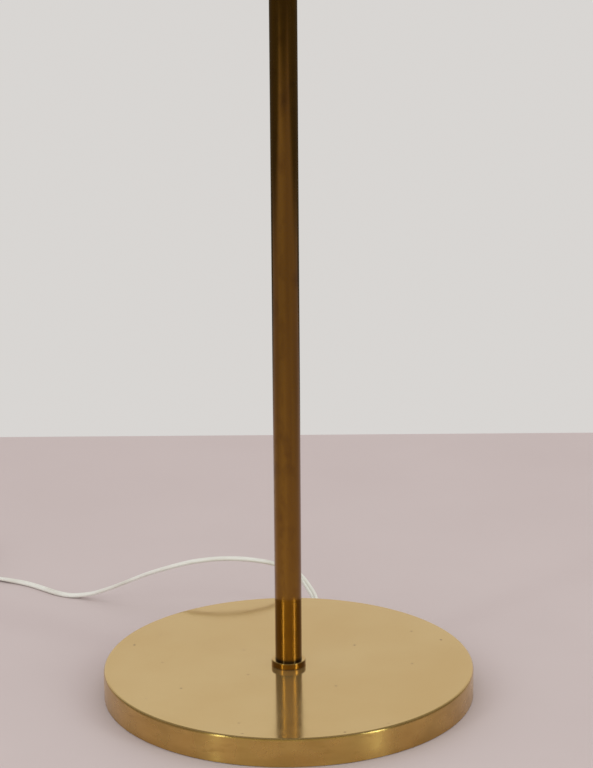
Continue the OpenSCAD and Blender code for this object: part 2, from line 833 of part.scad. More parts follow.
// Lead that lies along the bottom of the arm's bore and rises into the housing and the knuckle
module arm_lead() {
    rest = arm_id / 2 - cord_t / 2 - 0.5;
    path = [
        for (p = [
            [3, 0], [arm_start, 0], [arm_start + 12, -rest / 2], [arm_start + 30, -rest],
            [arm_reach - spigot_end - 30, -rest], [arm_reach - spigot_end - 12, -rest / 2],
            [arm_reach - spigot_end, 0], [arm_reach - lead_stop, 0]
        ]) [p[0], 0, arm_z + p[1]]
    ];
    color(white) swept_tube(path, [for (p = path) [0, 1, 0]], flat_eight());
}

// Half of the knuckle with its hub on the +Y side and its neck along +Z
module knuckle_half(shoulder_d, tail_d, tail_end) {
    difference() {
        union() {
            translate([0, hub_gap, 0]) along_y() bead_disc(hub_d / 2, hub_w, 1);
            cylinder(d = neck_d, h = neck_end);
            translate([0, 0, neck_end]) cylinder(d = shoulder_d, h = shoulder_end - neck_end);
            translate([0, 0, neck_end]) cylinder(d = tail_d, h = tail_end - neck_end);
        }
        translate([0, hub_gap - hub_w - cut, 0]) along_y() cylinder(r = hub_clear_r, h = hub_w + cut);
        translate([0, -cut, 0]) along_y() cylinder(d = hub_chamber_d, h = hub_gap + hub_w - hub_wall + cut);
        along_y() cylinder(d = pivot_d + 2 * run_gap, h = 2 * hub_w);
        cylinder(d = lead_bore, h = tail_end + cut);
    }
}

module knuckle_arm_half() {
    color(brass) at_arm(arm_reach) along_minus_x() knuckle_half(arm_d, arm_id - 2 * press_gap, spigot_end);
}

module knuckle_washer() {
    color(black) at_arm(arm_reach) translate([0, -hub_gap, 0]) along_y()
        ring(hub_d - 2, hub_chamber_d + 1, friction_t);
}

module knuckle_screw() {
    face = hub_gap + hub_w;
    color(brass) at_arm(arm_reach) difference() {
        union() {
            translate([0, -face - pivot_nut_t, 0]) along_y()
                cylinder(d = pivot_d, h = 2 * face + pivot_nut_t);
            translate([0, face, 0]) along_y() rounded_disc(pivot_head_d / 2, pivot_head_t, 1);
        }
        translate([-pivot_head_d / 2, face + pivot_head_t / 2, -0.5]) cube([pivot_head_d, pivot_head_t, 1]);
    }
}

module knuckle_nut() {
    face = hub_gap + hub_w + face_gap;
    color(brass) at_arm(arm_reach) translate([0, -face, 0]) along_minus_y() difference() {
        rounded_disc(pivot_head_d / 2, pivot_nut_t + 1.5, 1.5);
        translate([0, 0, -cut]) cylinder(d = pivot_d + 2 * thread_gap, h = pivot_nut_t + cut);
    }
}

module knuckle_head_half() {
    color(brass) below_pivot(0) mirror([0, 1, 0]) mirror([0, 0, 1]) difference() {
        knuckle_half(16, nipple_d, thread_end);
        translate([0, 0, cup_top]) ring(2 * hub_d, nipple_d, shoulder_end);
    }
}

module cup_nut() {
    color(steel) below_pivot(socket_top) hex_nut(cup_nut_flats, nipple_d + 2 * thread_gap, cup_nut_t);
}

module socket_cup() {
    color(brass) difference() {
        below_pivot(cup_rim) rounded_disc(cup_d / 2, cup_h, cup_edge_r);
        below_pivot(cup_rim + cut)
            rounded_disc(cup_d / 2 - cup_wall, cup_h - cup_wall + cut, cup_edge_r - cup_wall);
        below_pivot(socket_top) cylinder(d = nipple_d + 2 * face_gap, h = socket_top);
        below_pivot(cup_top + cup_edge_r + vent_d) for (i = [0 : vent_count - 1])
            rotate([0, 0, (i + 0.5) * 360 / vent_count]) along_x() cylinder(d = vent_d, h = cup_d);
        below_pivot(switch_drop) along_minus_y() cylinder(d = bush_d + 2 * face_gap, h = cup_d);
    }
}

// Moulded socket with a threaded skirt, screwed on the end of the knuckle's thread
module socket_body() {
    color(black) difference() {
        union() {
            below_pivot(skirt_top) cylinder(d = skirt_d - 2, h = skirt_top - socket_top);
            below_pivot(skirt_end) cylinder(d = skirt_d, h = skirt_end - skirt_top);
        }
        below_pivot(thread_end) cylinder(d = nipple_d + 2 * thread_gap, h = thread_end);
        below_pivot(cavity_top + cavity_h) cylinder(d = skirt_d - 12, h = cavity_h);
        below_pivot(switch_drop) along_minus_y() cylinder(d = bush_d - 2 + 2 * face_gap, h = skirt_d);
        below_pivot(skirt_end + cut) cylinder(d = skirt_id, h = skirt_end - skirt_top + cut);
    }
}

module socket_screw_shell() {
    color(steel) below_pivot(skirt_end - 1)
        ring(shell_d, shell_d - 2 * shell_wall, skirt_end - skirt_top - 1);
}

// Centre contact: a riveted strip bent down to the bulb's tip
module socket_contact() {
    strip_t = 0.6;
    strip_w = 6;
    reach = 10;
    drop = cap_top - skirt_top - loose_gap - strip_t;
    color(brass) below_pivot(skirt_top) translate([0, strip_w / 2, 0]) rotate([90, 0, 0])
        linear_extrude(height = strip_w) polygon([
            [-reach, 0], [-reach + 5, 0], [2, -drop], [4, -drop], [4, -drop - strip_t],
            [2, -drop - strip_t], [-reach + 5, -strip_t], [-reach, -strip_t]
        ]);
}

// Dome between the flat flange and the rolled rim, as one quarter of an ellipse
function dome(r0, r1, z0, z1) =
    [for (a = [0 : 3.75 : 90]) [r0 + (r1 - r0) * sin(a), z0 + (z1 - z0) * (1 - cos(a))]];
function reversed(p) = [for (i = [len(p) - 1 : -1 : 0]) p[i]];

// Rolled bead that carries the outside of the dome round to its inside
function rolled_rim() =
    let (
        start = acos(shade_wall / 2 / rim_r),
        centre = [shade_r - shade_wall / 2, -shade_top - shade_h - rim_r * sin(start)]
    )
    [for (a = [start - 20 : -20 : -160 - start]) centre + rim_r * [cos(a), sin(a)]];

module shade() {
    hole_r = skirt_d / 2 + 0.2;
    outside = dome(flange_r, shade_r, -shade_top, -shade_top - shade_h);
    inside = dome(flange_r, shade_r - shade_wall, -ring_top, -shade_top - shade_h);
    hole = [[hole_r, -ring_top], [hole_r, -shade_top]];
    color(brass) below_pivot(0) rotate_extrude()
        polygon(concat(hole, outside, rolled_rim(), reversed(inside)));
}

module shade_ring() {
    color(brass) below_pivot(ring_top + ring_h) difference() {
        fluted_grip(skirt_d + 9, ring_h, 24, 1);
        translate([0, 0, -cut]) cylinder(d = skirt_d + 2 * thread_gap, h = ring_h + 2 * cut);
    }
}

module bulb_cap() {
    tip_h = 2;
    tip_d = 9;
    cone_h = 3;
    color(steel) {
        below_pivot(skirt_end) cylinder(d = cap_d, h = skirt_end - cap_top - tip_h - cone_h);
        below_pivot(cap_top + tip_h + cone_h) cylinder(d1 = cap_d, d2 = tip_d, h = cone_h);
        below_pivot(cap_top + tip_h) cylinder(d = tip_d, h = tip_h);
    }
}

// Outline of the bulb: a round end that runs tangent into a straight neck
function bulb_outline(wall) = [
    for (i = [0 : bulb_steps])
        let (a = -90 + (bulb_tangent + 90) * i / bulb_steps)
        (bulb_r - wall) * [cos(a), sin(a)],
    [bulb_neck_r - wall, bulb_neck_len]
];

module bulb_glass() {
    color([0.95, 0.95, 0.92]) below_pivot(bulb_centre)
        rotate_extrude() polygon(concat(bulb_outline(0), reversed(bulb_outline(bulb_wall))));
}

module head_lead() {
    color(white) below_pivot(thread_end + lead_tail)
        linear_extrude(height = thread_end + lead_tail - lead_stop) flat_outline(0);
}

module switch_bush() {
    color(brass) below_pivot(switch_drop) along_minus_y() difference() {
        union() {
            translate([0, 0, skirt_d / 2 - 2]) cylinder(d = bush_d - 2, h = bush_face - skirt_d / 2);
            translate([0, 0, cup_d / 2 - cup_wall - 1]) cylinder(d = bush_d, h = cup_wall + 2);
            translate([0, 0, cup_d / 2 + face_gap])
                cylinder(d = bush_nut_flats / cos(30), h = bush_nut_t, $fn = 6);
        }
        cylinder(d = shaft_d + 2 * run_gap, h = cup_d);
    }
}

module switch_shaft() {
    color(steel) below_pivot(switch_drop) along_minus_y()
        translate([0, 0, rotor_w]) cylinder(d = shaft_d, h = switch_start + switch_len - 3 - rotor_w);
}

// Notched cam that makes and breaks the contact
module switch_rotor() {
    color(white) below_pivot(switch_drop) along_minus_y() difference() {
        cylinder(d = rotor_d, h = rotor_w);
        for (a = [0 : 90 : 270])
            rotate([0, 0, a]) translate([rotor_d / 2, 0, -cut])
                cylinder(r = 1.2, h = rotor_w + 2 * cut, $fn = 24);
    }
}

module switch_knob() {
    color(black) below_pivot(switch_drop) along_minus_y() translate([0, 0, switch_start]) difference() {
        fluted_grip(switch_d, switch_len, flute_count, 0.6);
        translate([0, 0, -cut]) cylinder(d = shaft_d + 2 * press_gap, h = switch_len - 3 + cut);
    }
}

base_cover();
base_weight();
base_felt();
stem_nipple();
nipple_washer();
nipple_nut();
pole_foot_plug();
pole_collar();
lower_pole();
guide_bush();
clamp_collar();
clamp_pad();
cord_strain_relief();
stand_lead();
supply_cord();
cord_coil();
cord_tie();
plug_body();
plug_blades();
clamp_screw();
riser_tube();
riser_guide();
swivel_post();
swivel_washer();
swivel_spring_washer();
swivel_nut();
swivel_stop_pin();
riser_lead();
swivel_housing();
swivel_cap();
arm_tube();
arm_lead();
knuckle_arm_half();
knuckle_washer();
knuckle_screw();
knuckle_nut();
knuckle_head_half();
cup_nut();
socket_cup();
socket_body();
socket_screw_shell();
socket_contact();
shade();
shade_ring();
bulb_cap();
bulb_glass();
head_lead();
switch_bush();
switch_shaft();
switch_rotor();
switch_knob();
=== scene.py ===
# %% [markdown]
# # A brass reading floor lamp
# A heavy round base carries a straight pole, a sliding riser, a swing arm and a tilting shade.
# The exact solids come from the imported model. This lesson gives them a camera, finishes, a cord
# with its coil, and light, one step to a cell.

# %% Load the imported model
import json
import math

import bpy
import numpy as np
from mathutils import Matrix, Vector


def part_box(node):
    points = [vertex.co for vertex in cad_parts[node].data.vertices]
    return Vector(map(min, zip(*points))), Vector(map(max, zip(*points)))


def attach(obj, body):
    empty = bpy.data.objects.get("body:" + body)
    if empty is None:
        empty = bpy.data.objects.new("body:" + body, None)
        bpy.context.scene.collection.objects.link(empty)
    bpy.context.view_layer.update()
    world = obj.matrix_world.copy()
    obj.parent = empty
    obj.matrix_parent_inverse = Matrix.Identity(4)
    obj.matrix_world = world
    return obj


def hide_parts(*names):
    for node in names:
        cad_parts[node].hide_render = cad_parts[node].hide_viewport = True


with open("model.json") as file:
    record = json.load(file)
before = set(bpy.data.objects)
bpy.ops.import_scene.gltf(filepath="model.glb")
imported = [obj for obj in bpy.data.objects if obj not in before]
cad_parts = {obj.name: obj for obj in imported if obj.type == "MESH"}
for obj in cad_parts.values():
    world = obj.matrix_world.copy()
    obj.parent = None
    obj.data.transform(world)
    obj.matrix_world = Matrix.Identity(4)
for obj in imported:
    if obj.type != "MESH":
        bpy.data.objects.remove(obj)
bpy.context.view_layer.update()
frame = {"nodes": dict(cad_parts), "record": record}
MM = 0.001
scene = bpy.context.scene

# %% [markdown]
# ## Camera
# The photograph looks down on the base, and the pole runs out of the picture at the top. The camera
# could be placed by eye, but here it is fitted: the base's ellipse gives the angle, the pole, which
# leans a little in the picture, gives a small roll, and the lens follows from a distance of about
# two metres.

# %% Camera
PHOTO_HEIGHT_PX = 768
FOCAL_PX = 3014.0
SENSOR_MM = 36.0
CAMERA_AT = Vector((7.1, -2000.0, 848.4)) * MM
PITCH_DOWN = math.radians(17.17)
ROLL = math.radians(-0.43)

lens = bpy.data.cameras.new("camera")
lens.sensor_width = SENSOR_MM
lens.lens = FOCAL_PX / PHOTO_HEIGHT_PX * SENSOR_MM
camera = bpy.data.objects.new("camera", lens)
scene.collection.objects.link(camera)
scene.camera = camera

forward = Vector((0.0, math.cos(PITCH_DOWN), -math.sin(PITCH_DOWN)))
right = Vector((1.0, 0.0, 0.0))
level = Matrix((right, right.cross(forward), -forward)).transposed()
camera.matrix_world = Matrix.Translation(CAMERA_AT) @ (level @ Matrix.Rotation(ROLL, 3, "Z")).to_4x4()
print("lens in mm:", round(lens.lens, 2))

# %% [markdown]
# ## Finishes: nodes
# Each finish is a node tree on the Principled shader. The trees could be wired by hand in the shader
# editor, but a script can be run again after a change. Two helpers keep it short: one adds a node,
# and one starts a finish and sets the values that are the same all over a piece.

# %% Helpers for nodes
def add(tree, kind, inputs=None, **settings):
    """Adds a shader node; a socket given as an input is linked, any other value is set."""
    made = tree.nodes.new("ShaderNode" + kind)
    for name, value in settings.items():
        setattr(made, name, value)
    for name, value in (inputs or {}).items():
        if isinstance(value, bpy.types.NodeSocket):
            tree.links.new(value, made.inputs[name])
        else:
            made.inputs[name].default_value = value
    return made


def new_finish(name, **constants):
    """A material with a Principled shader, whose constants are set on its own sockets."""
    finish = bpy.data.materials.new(name)
    finish.use_nodes = True
    shader = finish.node_tree.nodes["Principled BSDF"]
    for socket, value in constants.items():
        shader.inputs[socket.replace("_", " ").title()].default_value = value
    return finish, finish.node_tree, shader


print("helpers:", add.__name__, new_finish.__name__)

# %% [markdown]
# ## Finishes: patterns
# No real surface has one even colour. Pictures could be laid over the pieces, but noise in object
# space gives clouds, smears and fine lines without any files, and it keeps its real size. These
# helpers make noise, set its range, mix two colours by it, and turn it into relief.

# %% Helpers for patterns
EVEN = (1.0, 1.0, 1.0)
COLOUR_A, COLOUR_B, COLOUR_OUT = 6, 7, 2


def noise(tree, scale, detail=3.0, stretch=EVEN):
    """Noise in object space, from 0 to 1; scale is in waves to the metre."""
    place = add(tree, "TexCoord").outputs["Object"]
    sized = add(tree, "Mapping", {"Vector": place, "Scale": stretch}).outputs["Vector"]
    return add(tree, "TexNoise", {"Vector": sized, "Scale": scale, "Detail": detail}).outputs["Fac"]


def spread(tree, factor, low, high, start=0.3, end=0.7):
    """Maps a factor between start and end to the range from low to high."""
    sockets = {"Value": factor, "From Min": start, "From Max": end, "To Min": low, "To Max": high}
    return add(tree, "MapRange", sockets, clamp=True).outputs["Result"]


def tint(tree, factor, first, second):
    """A colour between first and second; each may be three numbers or a socket."""
    made = add(tree, "Mix", {"Factor": factor}, data_type="RGBA")
    for socket, colour in ((made.inputs[COLOUR_A], first), (made.inputs[COLOUR_B], second)):
        if isinstance(colour, bpy.types.NodeSocket):
            tree.links.new(colour, socket)
        else:
            socket.default_value = (*colour, 1.0)
    return made.outputs[COLOUR_OUT]


def relief(tree, shader, height, depth):
    """Bumps the surface by a height times a depth in metres, and gives the bumped normal."""
    bump = add(tree, "Bump", {"Height": height, "Distance": depth, "Strength": 1.0})
    tree.links.new(bump.outputs["Normal"], shader.inputs["Normal"])
    return bump.outputs["Normal"]


print("helpers:", noise.__name__, spread.__name__, tint.__name__, relief.__name__)

# %% [markdown]
# ## Brass
# The lamp is one metal in several states: the mirror-polished top of the base, its lathe-turned
# side, the drawn tubes under an amber lacquer, and small fittings, turned or rubbed smooth. Each
# could be wired by itself, but they are alike, so they share one function. It changes the colour, the
# haze and the direction of the fine lines, adds the specks that time has left, and can paint a ring of
# shade round a tube.

# %% Brass
# The second colour is painted shade, for a dark ring where a tube enters its collar.
SPOTTED, FOOT_SHADE_COLOUR = (0.24, 0.15, 0.06), (0.03, 0.014, 0.002)
SPECK_SIZE, SPECK_CORE = 0.022, 0.4
FOOT_SHADE_UNDER, FOOT_SHADE_FULL, FOOT_SHADE_END = 0.0003, 0.0006, 0.003
HAZE_WAVES, HAZE_LOW, HAZE_HIGH = 40.0, 0.75, 1.3


def specks(tree, per_metre, size):
    """Scattered round specks seen from above, from 0 to 1; size is a share of the space between two."""
    place = add(tree, "TexCoord").outputs["Object"]
    cells = add(tree, "TexVoronoi", {"Vector": place, "Scale": per_metre}, voronoi_dimensions="2D").outputs
    strength = add(tree, "SeparateColor", {"Color": cells["Color"]}).outputs["Red"]
    return spread(tree, cells["Distance"], strength, 0.0, SPECK_CORE * size, size)


def brass(name, bright, clouds, rough, lines, line_depth, haze=EVEN, spots=0.0, grime_at=None,
          tilt=0.0, **constants):
    """Brass with clouds: a darker colour, its waves to the metre, and where its noise starts and ends."""
    finish, tree, shader = new_finish(name, **{"metallic": 1.0, **constants})
    colour = bright
    for dull, waves, start, end in clouds:
        cloud = spread(tree, noise(tree, 1.0, stretch=waves), 0.0, 1.0, start, end)
        colour = tint(tree, cloud, colour, dull)
    if spots:
        colour = tint(tree, specks(tree, spots, SPECK_SIZE), colour, SPOTTED)
    height = add(tree, "SeparateXYZ", {"Vector": add(tree, "TexCoord").outputs["Object"]}).outputs["Z"]
    # Painted shade: a dark ring on the tube just above this height, where it enters its collar.
    if grime_at is not None:
        above = spread(tree, height, 0.0, 1.0, grime_at - FOOT_SHADE_UNDER, grime_at)
        below = spread(tree, height, 1.0, 0.0, grime_at + FOOT_SHADE_FULL, grime_at + FOOT_SHADE_END)
        ring = add(tree, "Math", {0: above, 1: below}, operation="MULTIPLY").outputs[0]
        colour = tint(tree, ring, colour, FOOT_SHADE_COLOUR)
    tree.links.new(colour, shader.inputs["Base Color"])
    hazed = noise(tree, HAZE_WAVES, detail=4.0, stretch=haze)
    dulled = spread(tree, hazed, HAZE_LOW * rough, HAZE_HIGH * rough)
    tree.links.new(dulled, shader.inputs["Roughness"])
    waviness = noise(tree, 1.0, detail=2.0, stretch=lines)
    lined = add(tree, "Math", {0: waviness, 1: line_depth}, operation="MULTIPLY").outputs[0]
    sloped = add(tree, "Math", {0: height, 1: tilt, 2: lined}, operation="MULTIPLY_ADD").outputs[0]
    bumped = relief(tree, shader, sloped, depth=1.0)
    if tilt:
        tree.links.new(bumped, shader.inputs["Coat Normal"])
    return finish


print("helpers:", specks.__name__, brass.__name__)

# %% [markdown]
# ## Buffed and turned brass
# The base's top was buffed to a mirror, which leaves it softly wavy, and it has a few dark specks. Its
# side still has the lathe's fine lines. The small fittings were turned as well, and those that hands
# take hold of are rubbed smooth. Waves to the metre, given for each direction, make the difference.

# %% Buffed and turned brass
BUFFED, BUFFED_DULL = (0.73, 0.52, 0.22), (0.69, 0.47, 0.18)
TURNED, TURNED_DULL, TURNED_DARK = (0.64, 0.40, 0.12), (0.54, 0.32, 0.088), (0.38, 0.21, 0.048)
buffed_clouds = [(BUFFED_DULL, (14.0, 14.0, 14.0), 0.3, 0.7)]
brass_top = brass("brass_top", BUFFED, buffed_clouds, rough=0.11, lines=(9.0, 9.0, 9.0),
                  line_depth=0.0004, spots=18.0, metallic=0.85)
turned_clouds = [(TURNED_DULL, (25.0, 25.0, 90.0), 0.35, 0.7),
                 (TURNED_DARK, (60.0, 60.0, 200.0), 0.6, 0.85)]
brass_side = brass("brass_side", TURNED, turned_clouds, rough=0.28, lines=(30.0, 30.0, 2500.0),
                   line_depth=0.00001, anisotropic=1.0, anisotropic_rotation=0.25, coat_weight=0.3,
                   coat_roughness=0.05)
worn_clouds = [(TURNED, (40.0, 40.0, 40.0), 0.3, 0.7),
               (TURNED_DULL, (120.0, 120.0, 120.0), 0.55, 1.0)]
brass_turned = brass("brass_turned", BUFFED, worn_clouds, rough=0.13, lines=(60.0, 60.0, 900.0),
                     line_depth=0.00002)
brass_rubbed = brass("brass_rubbed", BUFFED, worn_clouds, rough=0.13, lines=(250.0, 250.0, 250.0),
                     line_depth=0.00001)
print("made:", [m.name for m in (brass_top, brass_side, brass_turned, brass_rubbed)])

# %% [markdown]
# ## Drawn tubes
# Drawing leaves lines along a tube, so a tube's finish is made for its axis, and the shader's tangent
# goes round it. The pole also gets a dark ring of painted shade, the shade of the gap where it enters
# its collar. In the photograph the base's edge shows higher in the pole than a straight pole would
# mirror it. The pole could be leaned for that, but the solid stays as it is: a slope in the finish's
# relief tilts only the mirror, by about a degree.

# %% Drawn tubes
AMBER, AMBER_DULL, AMBER_DARK = (0.29, 0.138, 0.012), (0.215, 0.095, 0.008), (0.12, 0.048, 0.005)
MIRROR_TILT = 0.02


def drawn_brass(name, axis, **more):
    """Lacquered tube along the axis X, Y or Z, with streaks of that direction."""
    def along(across_waves, length_waves):
        return tuple(length_waves if letter == axis else across_waves for letter in "XYZ")

    clouds = [(AMBER_DULL, along(130.0, 2.5), 0.4, 0.65), (AMBER_DULL, along(150.0, 70.0), 0.5, 0.75),
              (AMBER_DARK, along(45.0, 28.0), 0.58, 0.82)]
    finish = brass(name, AMBER, clouds, rough=0.14, lines=along(700.0, 1.0), line_depth=0.000002,
                   haze=along(2.0, 0.05), anisotropic=1.0, coat_weight=0.4, coat_roughness=0.04, **more)
    tree = finish.node_tree
    around = add(tree, "Tangent", direction_type="RADIAL", axis=axis).outputs["Tangent"]
    tree.links.new(around, tree.nodes["Principled BSDF"].inputs["Tangent"])
    return finish


# The pole's ring of painted shade starts at the collar's top.
collar_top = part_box("pole_collar")[1][2]
brass_tube = drawn_brass("brass_tube", "Z", grime_at=collar_top, tilt=MIRROR_TILT)
brass_arm = drawn_brass("brass_arm", "X")
print("brass finishes:", [m.name for m in bpy.data.materials if m.name.startswith("brass")])

# %% [markdown]
# ## Plastics, iron, felt, steel and glass
# The pieces round the brass are plainer, so one function can make them all: white plastic picks
# up dirt, phenolic is faintly clouded, cast iron is grainy, felt is fibrous, and the bulb's glass
# is frosted. They differ in colour, in gloss, and in how fine and deep their grain is.

# %% Other finishes
DIRT_WAVES, DIRT_FROM, DIRT_TO = 45.0, 0.45, 0.8
SMEAR_WAVES, SMEAR_LOW, SMEAR_HIGH = 160.0, 0.8, 1.2


def moulded(name, colour, soiled, rough, grain=900.0, depth=0.00002, **constants):
    """A moulded, cast or plated finish: patches of dirt, smears, and a grain in waves to the metre."""
    finish, tree, shader = new_finish(name, **constants)
    dirt = spread(tree, noise(tree, DIRT_WAVES, detail=5.0), 0.0, 1.0, DIRT_FROM, DIRT_TO)
    tree.links.new(tint(tree, dirt, colour, soiled), shader.inputs["Base Color"])
    smeared = spread(tree, noise(tree, SMEAR_WAVES), SMEAR_LOW * rough, SMEAR_HIGH * rough)
    tree.links.new(smeared, shader.inputs["Roughness"])
    relief(tree, shader, noise(tree, grain, detail=2.0), depth)
    return finish


white_pvc = moulded("white_pvc", (0.80, 0.78, 0.73), (0.66, 0.62, 0.55), rough=0.42)
nylon = moulded("nylon", (0.66, 0.60, 0.48), (0.55, 0.48, 0.36), rough=0.45)
phenolic = moulded("black_phenolic", (0.022, 0.019, 0.017), (0.045, 0.038, 0.032), rough=0.28)
fibre = moulded("fibre", (0.035, 0.033, 0.03), (0.06, 0.055, 0.05), rough=0.8,
                grain=2500.0, depth=0.0001)
felt = moulded("felt", (0.03, 0.045, 0.03), (0.05, 0.065, 0.045), rough=0.95,
               grain=3000.0, depth=0.0003)
cast_iron = moulded("cast_iron", (0.06, 0.06, 0.062), (0.10, 0.085, 0.07), rough=0.6,
                    grain=700.0, depth=0.0003)
enamel = moulded("white_enamel", (0.82, 0.81, 0.77), (0.74, 0.72, 0.66), rough=0.32,
                 grain=220.0, depth=0.00003)
zinc_steel = moulded("zinc_steel", (0.60, 0.60, 0.58), (0.48, 0.47, 0.44), rough=0.3, metallic=1.0)
bulb_metal = moulded("bulb_metal", (0.78, 0.77, 0.74), (0.66, 0.64, 0.60), rough=0.25, metallic=1.0)
bulb_glass = moulded("bulb_glass", (0.90, 0.90, 0.87), (0.86, 0.85, 0.81), rough=0.3,
                     transmission_weight=0.25)

FINISHES = {
    "polished_brass": brass_turned, "pole_brass": brass_tube, "cast_iron": cast_iron, "felt": felt,
    "zinc_steel": zinc_steel, "nylon": nylon, "white_pvc": white_pvc, "black_phenolic": phenolic,
    "fibre": fibre, "bulb_metal": bulb_metal, "bulb_glass": bulb_glass,
}
print("slots with a finish:", list(FINISHES))

# %% [markdown]
# ## A finish for every piece
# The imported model's record gives each piece a slot, so the table of slots can dress nearly all of
# them in one loop. The arm lies along another axis than the pole, and the clamp's screw and the
# knuckle are rubbed smooth by hands, so these have finishes of their own.

# %% Finish every piece
RUBBED = ("knuckle_arm_half", "knuckle_head_half", "knuckle_screw", "knuckle_nut", "clamp_screw")
OWN_FINISH = {"arm_tube": brass_arm, **{node: brass_rubbed for node in RUBBED}}
for subpart in frame["record"]["subparts"]:
    node = subpart["node"]
    mesh = frame["nodes"][node].data
    mesh.materials.clear()
    mesh.materials.append(OWN_FINISH.get(node, FINISHES[subpart["material_slot"]]))

# %% [markdown]
# ## Faces with a finish of their own
# The collar's faces that look up get the bright buffed finish, a highlight painted along its upper
# edge, and the shade is enamelled white inside, to throw the light down. These could be pieces of their
# own, but the solids are right as they are, so a face only gets another finish by the direction that it
# faces.

# %% Finishes by face
def finish_faces(piece, finish, other, picks):
    """Gives a piece's faces a finish, and another to the faces that picks() chooses."""
    mesh = piece.data
    mesh.materials.clear()
    mesh.materials.append(finish)
    mesh.materials.append(other)
    for face in mesh.polygons:
        face.material_index = int(picks(face))
    print(piece.name, "faces with the second finish:", sum(f.material_index for f in mesh.polygons))


SLANTED = 0.5
collar, shade = frame["nodes"]["pole_collar"], frame["nodes"]["shade"]
# Faces that look up get the bright finish: a painted highlight on the collar's upper edge.
finish_faces(collar, brass_tube, brass_turned, lambda face: face.normal.z > SLANTED)

shade_low, shade_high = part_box("shade")
shade_axis = 0.5 * (shade_low + shade_high)


def looks_inward(face):
    """Whether a face of the shade looks towards the shade's own axis."""
    return (face.center - shade_axis).to_2d().dot(face.normal.to_2d()) < 0.0


finish_faces(shade, brass_turned, enamel, looks_inward)

# %% [markdown]
# ## One smooth dome
# The shade is spun from one sheet, but its solid is a stack of narrow cones, and their edges would
# break up a reflection. The mesh could be made again as a finer lathe. Three modifiers do it without
# moving a point: a weld joins the cones, an edge split keeps the real corners, and weighted normals
# shade the rest as one curve.

# %% Shading of the shade
SAME_POINT = 1e-6
REAL_CORNER = math.radians(35.0)
for kind, settings in (("WELD", {"merge_threshold": SAME_POINT}),
                       ("EDGE_SPLIT", {"split_angle": REAL_CORNER}),
                       ("WEIGHTED_NORMAL", {"mode": "FACE_AREA"})):
    step = shade.modifiers.new(kind.lower(), kind)
    for name, value in settings.items():
        setattr(step, name, value)
print("shade's modifiers:", [m.type for m in shade.modifiers])

# %% [markdown]
# ## The cord's route
# The flat twin lead leaves the base at the back, arches over behind it, comes down to the floor
# and runs off to the left, where the rest is wound into a coil. A curve object could carry a
# profile, but a flat cord that turns on its edge is easier to hold as a swept mesh: the route's
# points, in millimetres, are smoothed, and each ring is placed square to the route.

# %% Cord route
CORD_WIDTH = 5.2
EXIT_ANGLE = math.radians(82.0)
RELIEF_OUT = 10.0
EXIT_HEIGHT = 9.0
STRAIGHT_OUT = 4.0
ROUTE_STEPS = 8
ROUTE = [
    (20, 148, 10), (19, 155, 13), (14, 161, 19.5), (8, 162.5, 27), (-1, 160.5, 33.5), (-10.5, 158, 38),
    (-21, 156.5, 41), (-37, 155, 43.5), (-54, 154, 44), (-70, 153.5, 42.5), (-79, 154, 40.5),
    (-88, 156, 37.5), (-98, 159, 33.5), (-109, 163, 28.5), (-121, 168, 22), (-132, 173.5, 15.5),
    (-143, 179, 9.5), (-153, 183.5, 5), (-162, 187, 2.5), (-171, 189.5, 1.5), (-181, 195, 1.5),
    (-192, 204.5, 1.5), (-205, 215, 1.5), (-220, 222.5, 1.8), (-234, 227, 2.4), (-248, 229.5, 2.9),
    (-261, 230, 3.2), (-270, 230, 3.3), (-276, 230, 3.3),
]
exit_way = np.array((math.cos(EXIT_ANGLE), math.sin(EXIT_ANGLE), 0.0))
base_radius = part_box("base_cover")[1][0] / MM
exit_point = (base_radius + RELIEF_OUT) * exit_way + (0.0, 0.0, EXIT_HEIGHT)


def gaps(route):
    """The distance from each point of a route to the next."""
    return np.linalg.norm(np.diff(route, axis=0), axis=1)


def smooth_route(points, steps):
    """A smooth curve through all the points, with so many steps between two of them."""
    points = np.asarray(points, dtype=float)
    last = len(points) - 1
    route = []
    for i in range(last):
        a, b, c, d = (points[min(max(k, 0), last)] for k in (i - 1, i, i + 1, i + 2))
        for t in np.arange(steps) / steps:
            bend = (2 * a - 5 * b + 4 * c - d) * t**2 + (3 * b - a - 3 * c + d) * t**3
            route.append(0.5 * (2 * b + (c - a) * t + bend))
    return np.array(route + [points[last]])


free_route = smooth_route([exit_point, exit_point + STRAIGHT_OUT * exit_way, *ROUTE], ROUTE_STEPS)
print("free cord in mm:", round(float(gaps(free_route).sum())))

# %% [markdown]
# ## The coil
# The stored length lies on its edge in two layers of turns, which spiral inward on the floor,
# climb, and spiral outward on top. The turns could be drawn point by point, but a formula that gives
# each point from the number of turns keeps them all equally far apart.

# %% Coil route
COIL_X, COIL_Y, COIL_R = -282.0, 268.0, 38.0
TURN_STEP, LAYER_STEP = 3.2, 5.8
LAYER_TURNS, LINK_TURNS, CLIMB_TURNS = 5.375, 0.5, 0.375
COIL_TURNS = 2 * LAYER_TURNS + LINK_TURNS
COIL_LOW = 3.3
COIL_TAIL, TAIL_STEPS = 24.0, 10
RINGS_PER_TURN = 60
coil_inner = COIL_R - LAYER_TURNS * TURN_STEP


def ease(share):
    """Goes softly from 0 to 1 as the share does, and stays there."""
    share = min(max(share, 0.0), 1.0)
    return share * share * (3.0 - 2.0 * share)


def coil_point(turns):
    """The place on the coil after so many turns; a half turn links the two layers."""
    angle = -0.5 * math.pi - 2.0 * math.pi * turns
    past = turns - LAYER_TURNS
    if past < 0.0:
        radius = COIL_R - TURN_STEP * turns
    elif past < LINK_TURNS:
        radius = coil_inner - 0.5 * TURN_STEP * math.sin(2.0 * math.pi * past)
    else:
        radius = coil_inner + TURN_STEP * (past - LINK_TURNS)
    height = COIL_LOW + LAYER_STEP * ease(past / CLIMB_TURNS)
    return (COIL_X + radius * math.cos(angle), COIL_Y + radius * math.sin(angle), height)


